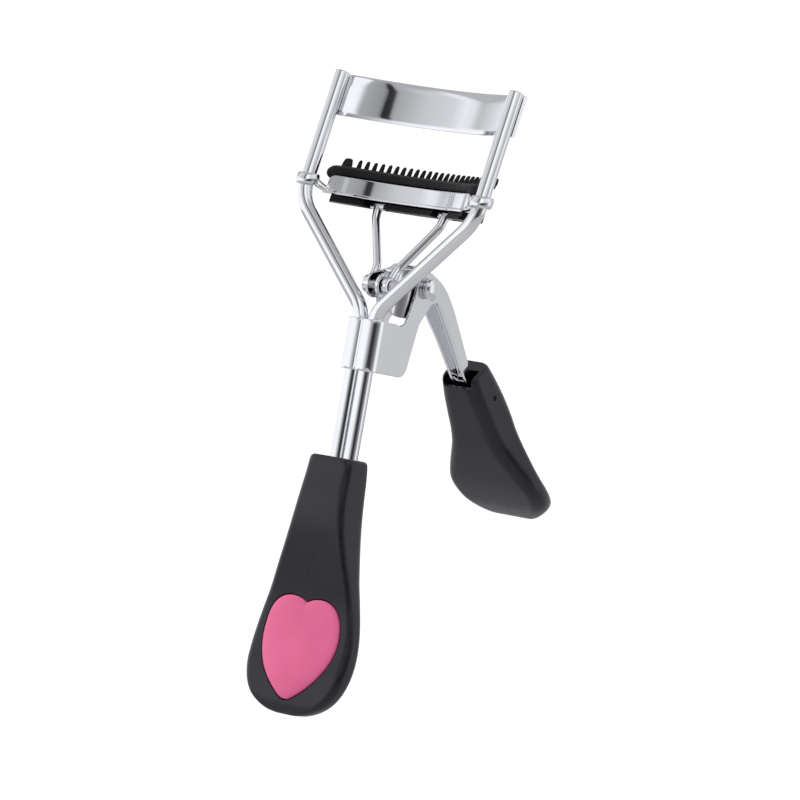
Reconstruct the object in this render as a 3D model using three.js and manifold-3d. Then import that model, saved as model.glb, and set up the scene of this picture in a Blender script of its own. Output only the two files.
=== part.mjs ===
// Hand-held eyelash curler, in millimetres: X across the jaws, Y from the front grip towards the
// lever, Z up along the front grip. It is drawn with the lever open, the way it rests in the hand.
import * as THREE from "three";
import { mergeVertices } from "three/addons/utils/BufferGeometryUtils.js";
import Module from "manifold-3d";

const wasm = await Module();
wasm.setup();

// ---- driving dimensions ----

// Frame wires: one pair, close together in the handle and spread apart as rails at the jaws.
const WIRE_R = 1.25;
const WIRE_SIDES = 14;
const WIRE_HALF_GAP = 1.36;
const WIRE_BOTTOM_Z = 30;
const WIRE_FORK_Z = 67.6;
const RAIL_X = 18;
const RAIL_FOOT_Z = 84.7;
const RAIL_TOP_Z = 106.9;
const RAIL_LEAN = 0.2353;

// Jaws: every jaw piece follows one plan curve that bows back between the rails.
const BOW_START = 0.9;
const BOW_BACK = 7.4;
const BOW_HALF = 17.2;
const BOW_STEPS = 18;

const PLATE_T = 0.8;
const PLATE_START = 1.9;
const PLATE_HALF = 17.0;
const PLATE_Z = [99.5, 106.7];
const TAB_Y = 1.95;
const TAB_END_X = 18.8;

const BAR_HALF = 15.3;
const BAR_FRONT = -1.5;
const BAR_BACK = 1.3;
const BAR_Z = [86.4, 89.4];
const GROOVE_HALF = 0.85;
const GROOVE_Z = 88.1;
const COLLAR_R = 2.0;
const COLLAR_BORE = 1.55;
const COLLAR_Z = [87.0, 89.0];

const PAD_HALF = 16.0;
const PAD_TOP_Z = 91.1;

const COMB_HALF = 14.5;
const LIP_HALF = 15.1;
const COMB_LIP_Z = [84.8, 86.0];
const COMB_BACK = [1.9, 2.6];
const COMB_TOP_Z = 91.3;
const TOOTH_COUNT = 23;
const TOOTH_PITCH = 1.1;
const TOOTH_HALF = 0.34;
const END_TOOTH_HALF = 0.95;
const TOOTH_TIP_Z = 92.7;

// Link from the lever's nose to the jaw bar.
const NOSE = [1.4, 72.2];
const HEAD = [6.9, 85.3];
const HEAD_X = 7;
const EYE_X = 2.0;
const ROD_R = 0.75;

// Clamp bracket and its pivot.
const SHEET_T = 0.6;
const EAR_OUT = 3.45;
const CLAMP_Z = [57.7, 66.3];
const PIVOT = [10.4, 73.1];
const EAR_R = 2.7;

// Lever channel.
const LEVER_HALF = 2.5;
const LEVER_TAPER = 0.32;
const LEVER_TAPER_Y = [14, 29];
const NOSE_HALF = 1.3;
const NOSE_R = 2.2;

// Grips.
const GRIP_TOP_Z = 43;
const GRIP_POINTS = 32;
const REAR_TOP = [29.2, 60.6];
const REAR_TILT = THREE.MathUtils.degToRad(42.5);
const REAR_LENGTH = 32.3;

// ---- materials ----

function material(colour, roughness, metalness) {
  return new THREE.MeshStandardMaterial({ color: colour, roughness, metalness });
}
const chrome = material(0xd2d3d6, 0.12, 1.0);
const steel = material(0xb9babd, 0.28, 1.0);
const softTouch = material(0x2b2b2e, 0.62, 0.0);
const silicone = material(0x151517, 0.5, 0.0);
const combPlastic = material(0x1a1a1c, 0.4, 0.0);
const pinkEnamel = material(0xe0538a, 0.35, 0.0);

// ---- solids ----

// A closed manifold solid from any closed three.js geometry.
function solid(geometry) {
  const bare = geometry.clone();
  bare.deleteAttribute("normal");
  bare.deleteAttribute("uv");
  const merged = mergeVertices(bare, 1e-4);
  const mesh = new wasm.Mesh({
    numProp: 3,
    vertProperties: merged.attributes.position.array,
    triVerts: new Uint32Array(merged.index.array),
  });
  return new wasm.Manifold(mesh);
}

// A drawable geometry from a manifold solid.
function toGeometry(body) {
  const mesh = body.getMesh();
  const stride = mesh.numProp;
  const position = new Float32Array(mesh.numVert * 3);
  for (let i = 0; i < mesh.numVert; i++) {
    position.set(mesh.vertProperties.subarray(i * stride, i * stride + 3), i * 3);
  }
  const geometry = new THREE.BufferGeometry();
  geometry.setAttribute("position", new THREE.BufferAttribute(position, 3));
  geometry.setIndex(new THREE.BufferAttribute(mesh.triVerts, 1));
  geometry.computeVertexNormals();
  return geometry;
}

// Joins rings of equal length into one closed skin; outline is the shape the end caps are cut to.
function loft(rings, outline) {
  const count = rings[0].length;
  const position = rings.flat().flatMap((p) => [p.x, p.y, p.z]);
  const index = [];
  for (let r = 0; r < rings.length - 1; r++) {
    for (let i = 0; i < count; i++) {
      const a = r * count + i;
      const b = r * count + ((i + 1) % count);
      index.push(a, b, a + count, b, b + count, a + count);
    }
  }
  const last = (rings.length - 1) * count;
  for (const [a, b, c] of THREE.ShapeUtils.triangulateShape(outline, [])) {
    index.push(c, b, a, last + a, last + b, last + c);
  }
  const geometry = new THREE.BufferGeometry();
  geometry.setAttribute("position", new THREE.Float32BufferAttribute(position, 3));
  geometry.setIndex(index);
  return geometry;
}

// Turns a solid the right way out when its rings were walked the other way round.
function outward(geometry) {
  const p = geometry.attributes.position;
  const t = geometry.index.array;
  const a = new THREE.Vector3();
  const b = new THREE.Vector3();
  const c = new THREE.Vector3();
  let volume = 0;
  for (let i = 0; i < t.length; i += 3) {
    a.fromBufferAttribute(p, t[i]);
    b.fromBufferAttribute(p, t[i + 1]);
    c.fromBufferAttribute(p, t[i + 2]);
    volume += a.dot(b.cross(c));
  }
  if (volume < 0) {
    for (let i = 0; i < t.length; i += 3) {
      [t[i + 1], t[i + 2]] = [t[i + 2], t[i + 1]];
    }
  }
  return geometry;
}

function circle(radius, sides) {
  const points = [];
  for (let i = 0; i < sides; i++) {
    const a = (2 * Math.PI * i) / sides;
    points.push(new THREE.Vector2(radius * Math.cos(a), radius * Math.sin(a)));
  }
  return points;
}

// A round bar along a path that never turns back on itself.
function roundBar(path, radius, sides) {
  const outline = circle(radius, sides);
  let side = new THREE.Vector3(1, 0, 0);
  const rings = path.map((p, i) => {
    const before = path[Math.max(i - 1, 0)];
    const after = path[Math.min(i + 1, path.length - 1)];
    const along = after.clone().sub(before).normalize();
    side = side.clone().addScaledVector(along, -side.dot(along)).normalize();
    const up = along.clone().cross(side);
    return outline.map((q) => p.clone().addScaledVector(side, q.x).addScaledVector(up, q.y));
  });
  return solid(outward(loft(rings, outline)));
}

// Corner points joined by straight runs, each inner corner rounded over the given length.
function roundedPath(corners, cuts, steps) {
  const path = [corners[0]];
  for (let i = 1; i < corners.length - 1; i++) {
    const back = corners[i - 1].clone().sub(corners[i]).normalize();
    const forward = corners[i + 1].clone().sub(corners[i]).normalize();
    const from = corners[i].clone().addScaledVector(back, cuts[i - 1]);
    const to = corners[i].clone().addScaledVector(forward, cuts[i - 1]);
    const bend = new THREE.QuadraticBezierCurve3(from, corners[i], to);
    path.push(...bend.getPoints(steps));
  }
  path.push(corners[corners.length - 1]);
  return path;
}

// A flat outline in X and Y raised between two heights.
function prismZ(points, low, high) {
  const shape = new THREE.Shape(points);
  const geometry = new THREE.ExtrudeGeometry(shape, { depth: high - low, bevelEnabled: false });
  geometry.translate(0, 0, low);
  return solid(geometry);
}

// A side outline in Y and Z carried from one X to another.
function prismX(points, low, high) {
  const shape = new THREE.Shape(points);
  const geometry = new THREE.ExtrudeGeometry(shape, { depth: high - low, bevelEnabled: false });
  const turn = new THREE.Matrix4().set(0, 0, 1, low, 1, 0, 0, 0, 0, 1, 0, 0, 0, 0, 0, 1);
  geometry.applyMatrix4(turn);
  return solid(geometry);
}

function block(x0, x1, y0, y1, z0, z1) {
  const corners = [[x0, y0], [x1, y0], [x1, y1], [x0, y1]];
  return prismZ(corners.map(([x, y]) => new THREE.Vector2(x, y)), z0, z1);
}

function discX(centre, radius, x0, x1, sides = 20) {
  const points = circle(radius, sides).map((p) => p.add(new THREE.Vector2(centre[0], centre[1])));
  return prismX(points, x0, x1);
}

function pairs(list) {
  return list.map(([a, b]) => new THREE.Vector2(a, b));
}

function join(bodies) {
  return bodies.reduce((a, b) => a.add(b));
}

function mirrored(body) {
  return body.mirror([1, 0, 0]);
}

// Tips an upright jaw piece back so that it follows the leaning rails.
function lean(body) {
  const m = new THREE.Matrix4().set(1, 0, 0, 0, 0, 1, RAIL_LEAN, -RAIL_LEAN * RAIL_FOOT_Z, 0, 0, 1, 0, 0, 0, 0, 1);
  return body.transform(m.elements);
}

// Turns a piece drawn upright, with its top at zero, onto the line of the rear grip.
function ontoRearLine(body) {
  const tilt = THREE.MathUtils.radToDeg(REAR_TILT);
  return body.rotate([tilt, 0, 0]).translate([0, REAR_TOP[0], REAR_TOP[1]]);
}

// ---- plan curve of the jaws ----

// Depth of the bow at x, for a bow that meets the rails at the depth start.
function bow(x, start = BOW_START) {
  return start + (BOW_BACK - start) * (1 - (x / BOW_HALF) ** 2);
}

// Point at distance off behind the bow, measured square to it.
function besideBow(x, off, start = BOW_START) {
  const slope = (-2 * (BOW_BACK - start) * x) / BOW_HALF ** 2;
  const length = Math.hypot(1, slope);
  return new THREE.Vector2(x - (off * slope) / length, bow(x, start) + off / length);
}

function bowBand(half, front, back, start = BOW_START) {
  const points = [];
  for (let i = 0; i <= BOW_STEPS; i++) {
    points.push(besideBow(-half + (2 * half * i) / BOW_STEPS, front, start));
  }
  for (let i = BOW_STEPS; i >= 0; i--) {
    points.push(besideBow(-half + (2 * half * i) / BOW_STEPS, back, start));
  }
  return points;
}

// ---- frame ----

function frameWire() {
  const corners = [
    new THREE.Vector3(WIRE_HALF_GAP, 0, WIRE_BOTTOM_Z),
    new THREE.Vector3(WIRE_HALF_GAP, 0, WIRE_FORK_Z),
    new THREE.Vector3(RAIL_X, 0, RAIL_FOOT_Z),
    new THREE.Vector3(RAIL_X, RAIL_LEAN * (RAIL_TOP_Z - RAIL_FOOT_Z), RAIL_TOP_Z),
  ];
  return roundBar(roundedPath(corners, [2.6, 3.2], 6), WIRE_R, WIRE_SIDES);
}

// The bow ends in a flat tab behind each rail, turned a little forward at its outer edge.
function plateOutline(z0, z1, thickness) {
  const centre = [];
  for (let i = 0; i <= BOW_STEPS; i++) {
    centre.push(besideBow(-PLATE_HALF + (2 * PLATE_HALF * i) / BOW_STEPS, 0, PLATE_START));
  }
  const tab = pairs([[PLATE_HALF + 0.5, TAB_Y], [TAB_END_X - 0.6, TAB_Y - 0.02], [TAB_END_X, TAB_Y - 0.14]]);
  const left = tab.map((p) => new THREE.Vector2(-p.x, p.y)).reverse();
  const line = [...left, ...centre, ...tab];
  const outer = [];
  const inner = [];
  line.forEach((p, i) => {
    const before = line[Math.max(i - 1, 0)];
    const after = line[Math.min(i + 1, line.length - 1)];
    const along = after.clone().sub(before).normalize();
    const normal = new THREE.Vector2(-along.y, along.x).multiplyScalar(thickness / 2);
    outer.push(p.clone().add(normal));
    inner.push(p.clone().sub(normal));
  });
  return prismZ([...inner, ...outer.reverse()], z0, z1);
}

function upperPlate() {
  const sheet = plateOutline(PLATE_Z[0], PLATE_Z[1], PLATE_T);
  const lip = prismZ(bowBand(14.6, -0.62, 0.62, PLATE_START), PLATE_Z[1] - 0.9, PLATE_Z[1]);
  return lean(sheet.add(lip));
}

function clampBracket() {
  const [z0, z1] = CLAMP_Z;
  const inside = EAR_OUT - SHEET_T;
  const bump = circle(WIRE_R + 0.2 + SHEET_T, 28);
  const hollow = circle(WIRE_R + 0.2, 28);
  const at = (points, x) => points.map((p) => new THREE.Vector2(p.x + x, p.y));
  const low = z0 - 1;
  const high = PIVOT[1] + EAR_R + 1;
  const skin = join([
    prismZ(at(bump, WIRE_HALF_GAP), low, high),
    prismZ(at(bump, -WIRE_HALF_GAP), low, high),
    block(-EAR_OUT, EAR_OUT, -0.4, 16, low, high),
  ]);
  const room = join([
    prismZ(at(hollow, WIRE_HALF_GAP), low - 1, high + 1),
    prismZ(at(hollow, -WIRE_HALF_GAP), low - 1, high + 1),
    block(-inside, inside, 0.1, 17, low - 1, high + 1),
  ]);
  const side = [[-2.5, z0], [6.1, z0], [7.1, z0 + 0.25], [7.8, z0 + 0.85], [8.25, z0 + 1.8]];
  side.push([9.9, z1 + 1.2], [11.2, z1 + 3.1]);
  for (let i = 0; i <= 10; i++) {
    const a = THREE.MathUtils.degToRad(-45 + i * 22.5);
    side.push([PIVOT[0] + EAR_R * Math.cos(a), PIVOT[1] + EAR_R * Math.sin(a)]);
  }
  side.push([7.0, z1 + 3.6], [6.3, z1 + 1.5], [5.6, z1 + 0.3], [4.7, z1 - 0.1], [3.8, z1 + 0.1], [3.0, z1], [-2.5, z1]);
  const sheet = skin.subtract(room).intersect(prismX(pairs(side), -EAR_OUT - 1, EAR_OUT + 1));
  return sheet.subtract(discX(PIVOT, 1.35, -5, 5));
}

// Shank with a domed head at each end, the second formed when the rivet is set.
function pivotRivet() {
  const dome = [[0, 5.05], [0.9, 4.98], [1.45, 4.75], [1.8, 4.35], [1.85, 4.1], [1.1, 4.1]];
  const profile = [...dome, ...dome.map(([r, x]) => [r, -x]).reverse()];
  const geometry = new THREE.LatheGeometry(pairs(profile), 24);
  geometry.rotateZ(-Math.PI / 2);
  geometry.translate(0, PIVOT[0], PIVOT[1]);
  return solid(outward(indexed(geometry)));
}

function indexed(geometry) {
  const bare = geometry.clone();
  bare.deleteAttribute("normal");
  bare.deleteAttribute("uv");
  return mergeVertices(bare, 1e-4);
}

function pivotWasher() {
  return discX(PIVOT, 1.75, EAR_OUT + 0.12, EAR_OUT + 0.52, 24).subtract(discX(PIVOT, 1.3, 3, 5, 20));
}

// ---- lever ----

function leverSide() {
  const points = [];
  for (let i = 0; i <= 8; i++) {
    const a = THREE.MathUtils.degToRad(285 - i * 20);
    points.push([NOSE[0] + NOSE_R * Math.cos(a), NOSE[1] + NOSE_R * Math.sin(a)]);
  }
  points.push([3.6, 75.3], [6.0, 76.2], [9.0, 76.5], [12.5, 75.9], [15.4, 74.9]);
  points.push([17.2, 74.0], [19.0, 72.7], [21.2, 70.6], [24.0, 67.5], [29.35, 61.25]);
  return points;
}

function leverChannel() {
  const top = leverSide();
  const foot = [[30.12, 60.04], [30.26, 58.55], [29.82, 58.15], [28.58, 58.91], [26.75, 60.76], [24.2, 64.0]];
  const belly = [[19.8, 67.7], [17.3, 70.1], [14.6, 71.0], [12.4, 70.0], [8.8, 68.0], [5.4, 67.6], [2.9, 69.6]];
  const outline = pairs([...top, ...foot, ...belly]).reverse();
  const wide = prismX(outline, -LEVER_HALF, LEVER_HALF);
  const slim = prismX(outline, -NOSE_HALF, NOSE_HALF);
  const hollowTop = top.slice(9).map(([y, z], i) => [y - (i > 3 ? 0.46 : 0.1), z - 0.62]);
  const hollow = [[-3, 66], [-3, 74.6], [2.4, 74.6], ...hollowTop, [29.75, 59.4], [29.6, 50], [5, 60]];
  const room = pairs(hollow).reverse();
  const inside = LEVER_HALF - SHEET_T;
  const back = wide.subtract(prismX(room, -inside, inside)).subtract(block(-9, 9, -9, 5.4, 50, 90));
  const front = slim
    .subtract(prismX(room, SHEET_T - NOSE_HALF, NOSE_HALF - SHEET_T))
    .subtract(block(-9, 9, 7.2, 60, 50, 90));
  const tang = ontoRearLine(block(-1.2, 1.2, -0.5, 0.1, -13.5, 1.5));
  return join([back.warp(taper), front, tang])
    .subtract(discX(NOSE, 0.85, -4, 4, 16))
    .subtract(discX(PIVOT, 1.3, -5, 5, 20));
}

// Past the pivot the channel narrows steadily towards the grip.
function taper(point) {
  const run = (point[1] - LEVER_TAPER_Y[0]) / (LEVER_TAPER_Y[1] - LEVER_TAPER_Y[0]);
  point[0] *= 1 - LEVER_TAPER * Math.min(Math.max(run, 0), 1);
}

// Headed pin through the nose; both push rods hang on it.
function yokePin() {
  const shank = discX(NOSE, 0.68, -2.8, 2.8, 16);
  const cap = discX(NOSE, 1.05, 2.7, 3.0, 20);
  return join([shank, cap, mirrored(cap)]);
}

// ---- link ----

function pushRod() {
  const path = roundedPath(
    [
      new THREE.Vector3(EYE_X, NOSE[0] + 0.5, NOSE[1] + 1.1),
      new THREE.Vector3(EYE_X + 0.15, NOSE[0] + 1.5, NOSE[1] + 3.0),
      new THREE.Vector3(HEAD_X - 0.35, HEAD[0] - 0.7, HEAD[1] - 2.2),
      new THREE.Vector3(HEAD_X, HEAD[0], HEAD[1]),
    ],
    [0.9, 0.8],
    3,
  );
  const rod = roundBar(path, ROD_R, 12);
  const eye = discX(NOSE, 1.55, EYE_X - 0.55, EYE_X + 0.55, 22);
  const head = discX(HEAD, 0.6, HEAD_X - 1.6, HEAD_X + 1.6, 14);
  return join([rod, eye, head]).subtract(discX(NOSE, 0.88, 0, 5, 16));
}

// ---- lower jaw ----

function headRoom(z0, z1, front, back) {
  const room = block(HEAD_X - 2.1, HEAD_X + 2.1, bow(HEAD_X) + front, bow(HEAD_X) + back, z0, z1);
  return room.add(mirrored(room));
}

function lowerBar() {
  const bar = prismZ(bowBand(BAR_HALF, BAR_FRONT, BAR_BACK), BAR_Z[0], BAR_Z[1]);
  const groove = prismZ(bowBand(BAR_HALF + 1, -GROOVE_HALF, GROOVE_HALF), GROOVE_Z, BAR_Z[1] + 1);
  const ring = circle(COLLAR_R, 26).map((p) => new THREE.Vector2(p.x + RAIL_X, p.y));
  const bore = circle(COLLAR_BORE, 26).map((p) => new THREE.Vector2(p.x + RAIL_X, p.y));
  const end = besideBow(BAR_HALF - 0.4, 0);
  const neck = [[end.x - 0.4, end.y - 0.6], [RAIL_X - 1.4, 1.0], [RAIL_X - 0.6, 2.0], [end.x + 0.2, end.y + 0.6]];
  const arm = join([
    prismZ(ring, COLLAR_Z[0], COLLAR_Z[1]),
    prismZ(pairs(neck), BAR_Z[0] + 0.4, GROOVE_Z - 0.1),
  ]).subtract(prismZ(bore, 80, 95));
  const whole = join([bar.subtract(groove), arm, mirrored(arm)]);
  return lean(whole.subtract(headRoom(80, BAR_Z[0] + 0.6, -0.9, 3)));
}

// Mushroom section: a tongue in the bar's groove and a soft rounded head above it.
function siliconePad() {
  const tongue = GROOVE_HALF - 0.12;
  const low = GROOVE_Z + 0.15;
  const neck = BAR_Z[1] + 0.12;
  const half = [[tongue, low], [tongue, neck], [1.45, neck], [1.6, neck + 0.45], [1.4, neck + 1.05], [0.75, PAD_TOP_Z - 0.08]];
  const section = pairs([...half, [0, PAD_TOP_Z], ...half.slice().reverse().map(([o, z]) => [-o, z])]);
  const rings = [];
  for (let i = 0; i <= BOW_STEPS; i++) {
    const x = -PAD_HALF + (2 * PAD_HALF * i) / BOW_STEPS;
    const slim = i === 0 || i === BOW_STEPS ? 0.8 : 1;
    rings.push(
      section.map((q) => {
        const p = besideBow(x, q.x * slim);
        return new THREE.Vector3(p.x, p.y, low + (q.y - low) * (slim === 1 ? 1 : 0.9));
      }),
    );
  }
  return lean(solid(outward(loft(rings, section))));
}

function combTooth(x, halfWidth) {
  const base = besideBow(x, (COMB_BACK[0] + COMB_BACK[1]) / 2);
  const tip = besideBow(x, COMB_BACK[1] + 0.25);
  const rings = [
    [COMB_TOP_Z - 0.5, base, halfWidth, 0.38],
    [COMB_TOP_Z + 0.5, base, halfWidth, 0.36],
    [TOOTH_TIP_Z, tip, halfWidth * 0.62, 0.2],
  ].map(([z, c, w, d]) => {
    const corners = [[-w, -d], [w, -d], [w, d], [-w, d]];
    return corners.map(([a, b]) => new THREE.Vector3(c.x + a, c.y + b, z));
  });
  return solid(outward(loft(rings, pairs([[-1, -1], [1, -1], [1, 1], [-1, 1]]))));
}

function lashComb() {
  const shelf = prismZ(bowBand(COMB_HALF, BAR_FRONT + 0.2, COMB_BACK[1]), COMB_LIP_Z[0], COMB_LIP_Z[1]);
  const lip = shelf.intersect(block(-LIP_HALF, LIP_HALF, -5, 15, 80, 90));
  const back = prismZ(bowBand(COMB_HALF, COMB_BACK[0], COMB_BACK[1]), COMB_LIP_Z[0], COMB_TOP_Z);
  const teeth = [];
  for (let i = 0; i < TOOTH_COUNT; i++) {
    teeth.push(combTooth((i - (TOOTH_COUNT - 1) / 2) * TOOTH_PITCH, TOOTH_HALF));
  }
  const endTooth = combTooth(COMB_HALF - 0.75, END_TOOTH_HALF);
  const comb = join([lip, back, ...teeth, endTooth, mirrored(endTooth)]);
  return lean(comb.subtract(headRoom(80, COMB_LIP_Z[1] + 0.1, -5, 1.95)));
}

// ---- grips ----

// Rounded-rectangle section with crisp front corners and softer back ones.
function gripSection(half, front, back, count = GRIP_POINTS) {
  const points = [];
  const middle = (front + back) / 2;
  const deep = (back - front) / 2;
  for (let i = 0; i < count; i++) {
    const a = (2 * Math.PI * (i + 0.5)) / count;
    const c = Math.cos(a);
    const s = Math.sin(a);
    const power = 2 / (s < 0 ? 7 : 3.2);
    const x = half * Math.sign(c) * Math.abs(c) ** power;
    const y = middle + deep * Math.sign(s) * Math.abs(s) ** power;
    points.push(new THREE.Vector2(x, y));
  }
  return points;
}

function loftGrip(stations) {
  const outline = circle(1, GRIP_POINTS);
  const rings = stations.map(([z, half, front, back]) =>
    gripSection(half, front, back).map((q) => new THREE.Vector3(q.x, q.y, z)),
  );
  return solid(outward(loft(rings, outline)));
}

// Heart outline around its own middle, lobes up.
function heartOutline(grow) {
  const shape = new THREE.Shape();
  shape.moveTo(0, 7.6);
  shape.bezierCurveTo(1.7, 8.9, 7.2, 9.6, 7.6, 3.0);
  shape.bezierCurveTo(8.0, -1.8, 5.0, -5.6, 1.3, -8.1);
  shape.bezierCurveTo(0.7, -8.6, -0.7, -8.6, -1.3, -8.1);
  shape.bezierCurveTo(-5.0, -5.6, -8.0, -1.8, -7.6, 3.0);
  shape.bezierCurveTo(-7.2, 9.6, -1.7, 8.9, 0, 7.6);
  const points = shape.getPoints(9).slice(0, -1).reverse();
  return points.map((p) => new THREE.Vector2(p.x * (1 + grow / 7.6), p.y * (1 + grow / 8.4)));
}

const HEART_Z = 11.0;
const HEART_GAP = 0.16;
const HEART_FLOOR = [-3.0, 0.1];

// Front grip from its tip up: height, half width, front face and back face.
const FRONT_GRIP_ROWS = [
  [0.0, 2.4, -4.2, -2.8],
  [0.3, 4.0, -4.5, -2.2],
  [1.2, 6.1, -4.75, -1.6],
  [2.6, 7.9, -4.8, -1.0],
  [4.6, 9.2, -4.6, -0.4],
  [7.2, 10.0, -4.2, 0.15],
  [10.0, 10.25, -3.6, 0.5],
  [13.0, 10.1, -3.15, 0.63],
  [16.0, 9.6, -3.0, 0.8],
  [20.0, 8.55, -3.2, 1.2],
  [24.0, 7.5, -3.8, 1.5],
  [28.0, 6.4, -4.4, 2.0],
  [32.0, 5.5, -4.8, 2.4],
  [36.0, 4.95, -4.75, 2.6],
  [40.0, 4.65, -4.3, 2.6],
  [42.3, 4.5, -4.1, 2.4],
  [GRIP_TOP_Z, 4.1, -3.8, 2.1],
];

// Depth of the front grip's curved face at a height.
function faceY(z) {
  const rows = FRONT_GRIP_ROWS;
  const i = Math.max(rows.findIndex((row) => row[0] > z), 1);
  const share = (z - rows[i - 1][0]) / (rows[i][0] - rows[i - 1][0]);
  return rows[i - 1][2] + share * (rows[i][2] - rows[i - 1][2]);
}

// Depth of the flat floor under the heart, which slopes with the grip's face.
function heartFloorY(z) {
  return HEART_FLOOR[0] + HEART_FLOOR[1] * (z - HEART_Z);
}

function frontGrip() {
  const body = loftGrip(FRONT_GRIP_ROWS);
  const reach = WIRE_HALF_GAP + WIRE_R + 0.3;
  const socket = block(-reach, reach, -WIRE_R - 0.3, WIRE_R + 0.3, WIRE_BOTTOM_Z - 0.5, GRIP_TOP_Z + 1);
  const recess = heartSolid(HEART_GAP, [[heartFloorY, 1], [() => -7, 1]]);
  return body.subtract(socket).subtract(recess);
}

// Layers of the heart outline, each [depth at a height, scale], stacked towards the front.
function heartSolid(grow, layers) {
  const outline = heartOutline(grow);
  const rings = layers.map(([depth, scale]) =>
    outline.map((p) => {
      const z = HEART_Z + p.y * scale;
      return new THREE.Vector3(p.x * scale, depth(z), z);
    }),
  );
  return solid(outward(loft(rings, outline)));
}

function heartInlay() {
  const above = (rise) => (z) => faceY(z) - rise;
  return heartSolid(0, [
    [(z) => heartFloorY(z) - 0.12, 1],
    [above(0.08), 1],
    [above(0.36), 0.94],
    [above(0.6), 0.8],
    [above(0.76), 0.55],
    [above(0.8), 0.25],
  ]);
}

function rearGrip() {
  const l = REAR_LENGTH;
  const body = loftGrip([
    [-l, 2.8, 1.7, 3.6],
    [-l + 0.3, 4.2, 1.1, 4.1],
    [-l + 1.2, 5.9, 0.33, 4.3],
    [-l + 2.7, 7.5, -0.2, 4.2],
    [-l + 4.7, 8.6, -1.2, 3.5],
    [-l + 7.3, 9.2, -2.0, 2.5],
    [-l + 9.7, 9.1, -2.5, 1.95],
    [-l + 12.4, 8.3, -2.8, 2.15],
    [-l + 15.4, 7.0, -3.0, 2.8],
    [-l + 18.4, 5.75, -3.1, 3.6],
    [-l + 21.4, 5.1, -3.05, 4.2],
    [-l + 24.9, 4.7, -3.0, 4.3],
    [-l + 28.4, 4.3, -2.9, 4.1],
    [-0.6, 3.8, -2.65, 3.8],
    [0, 3.5, -2.35, 3.05],
  ]);
  const mouth = block(-2.95, 2.95, -2.1, 1.0, -3.4, 1);
  const brow = block(-2.95, 2.95, -4, 1.0, -1.3, 1);
  const slot = block(-1.5, 1.5, -0.8, 0.4, -14.2, 1);
  const dimple = discX([0.9, -5.4], 0.45, 4.0, 6, 12);
  return ontoRearLine(body.subtract(mouth).subtract(brow).subtract(slot).subtract(dimple));
}

// ---- the object ----

const object = new THREE.Group();
object.name = "eyelash_curler";

function add(name, body, look) {
  const mesh = new THREE.Mesh(toGeometry(body), look);
  mesh.name = name;
  object.add(mesh);
}

add("right_frame_wire", frameWire(), chrome);
add("left_frame_wire", mirrored(frameWire()), chrome);
add("upper_jaw_plate", upperPlate(), chrome);
add("clamp_bracket", clampBracket(), chrome);
add("pivot_rivet", pivotRivet(), chrome);
add("right_pivot_washer", pivotWasher(), steel);
add("left_pivot_washer", mirrored(pivotWasher()), steel);
add("front_grip", frontGrip(), softTouch);
add("heart_inlay", heartInlay(), pinkEnamel);
add("lever_channel", leverChannel(), chrome);
add("rear_grip", rearGrip(), softTouch);
add("yoke_pin", yokePin(), steel);
add("right_push_rod", pushRod(), chrome);
add("left_push_rod", mirrored(pushRod()), chrome);
add("lower_jaw_bar", lowerBar(), chrome);
add("silicone_pad", siliconePad(), silicone);
add("lash_comb", lashComb(), combPlastic);

// The origin goes to the middle of the object's box, at the height of its lowest point.
const extent = new THREE.Box3().setFromObject(object, true);
const middle = extent.getCenter(new THREE.Vector3());
object.position.set(-middle.x, -middle.y, -extent.min.z);

export default object;
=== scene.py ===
"""Looks of a hand-held eyelash curler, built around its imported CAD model.

Shapes are drawn in design millimetres: X across the jaws, Y from the front grip towards the lever, Z up
along the front grip, with Y 0 on the frame wires. publish() carries them into the row frame, in metres.
"""

import math

import bmesh
import bpy
from mathutils import Matrix, Vector


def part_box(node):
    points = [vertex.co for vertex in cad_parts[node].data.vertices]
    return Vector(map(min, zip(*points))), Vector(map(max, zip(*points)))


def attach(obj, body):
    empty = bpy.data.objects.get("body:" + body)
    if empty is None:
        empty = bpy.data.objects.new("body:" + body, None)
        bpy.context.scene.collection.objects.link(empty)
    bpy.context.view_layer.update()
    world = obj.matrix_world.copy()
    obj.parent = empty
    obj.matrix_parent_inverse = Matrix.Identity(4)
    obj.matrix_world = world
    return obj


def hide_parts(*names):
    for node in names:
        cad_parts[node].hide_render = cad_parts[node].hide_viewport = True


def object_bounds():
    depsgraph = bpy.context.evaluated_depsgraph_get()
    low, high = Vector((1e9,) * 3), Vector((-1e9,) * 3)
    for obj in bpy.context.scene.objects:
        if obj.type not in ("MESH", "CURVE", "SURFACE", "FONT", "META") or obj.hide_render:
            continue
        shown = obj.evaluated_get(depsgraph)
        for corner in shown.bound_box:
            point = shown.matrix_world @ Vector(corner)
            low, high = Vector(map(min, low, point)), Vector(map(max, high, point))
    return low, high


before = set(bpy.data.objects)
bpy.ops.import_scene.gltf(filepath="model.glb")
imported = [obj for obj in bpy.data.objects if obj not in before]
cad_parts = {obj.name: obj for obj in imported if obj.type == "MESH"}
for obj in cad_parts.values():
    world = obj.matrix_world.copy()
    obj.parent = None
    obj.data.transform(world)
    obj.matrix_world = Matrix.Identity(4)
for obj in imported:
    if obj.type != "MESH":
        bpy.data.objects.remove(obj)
cad_low, cad_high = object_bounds()

# ---- driving dimensions, in design millimetres: points are (Y, Z), ranges are (low, high) ----

PIVOT = (10.4, 73.1)
NOSE = (1.4, 72.2)
HEAD = (6.9, 85.3)
HEAD_X = 7.0
EYE_X = 2.0
ROD_R = 0.75

WIRE_R = 1.25
WIRE_HALF_GAP = 1.36
WIRE_BOTTOM_Z = 30.0
WIRE_FORK_Z = 67.6
RAIL_X = 18.0
RAIL_FOOT_Z = 84.7
RAIL_TOP_Z = 106.9
RAIL_LEAN = 0.2353

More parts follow.
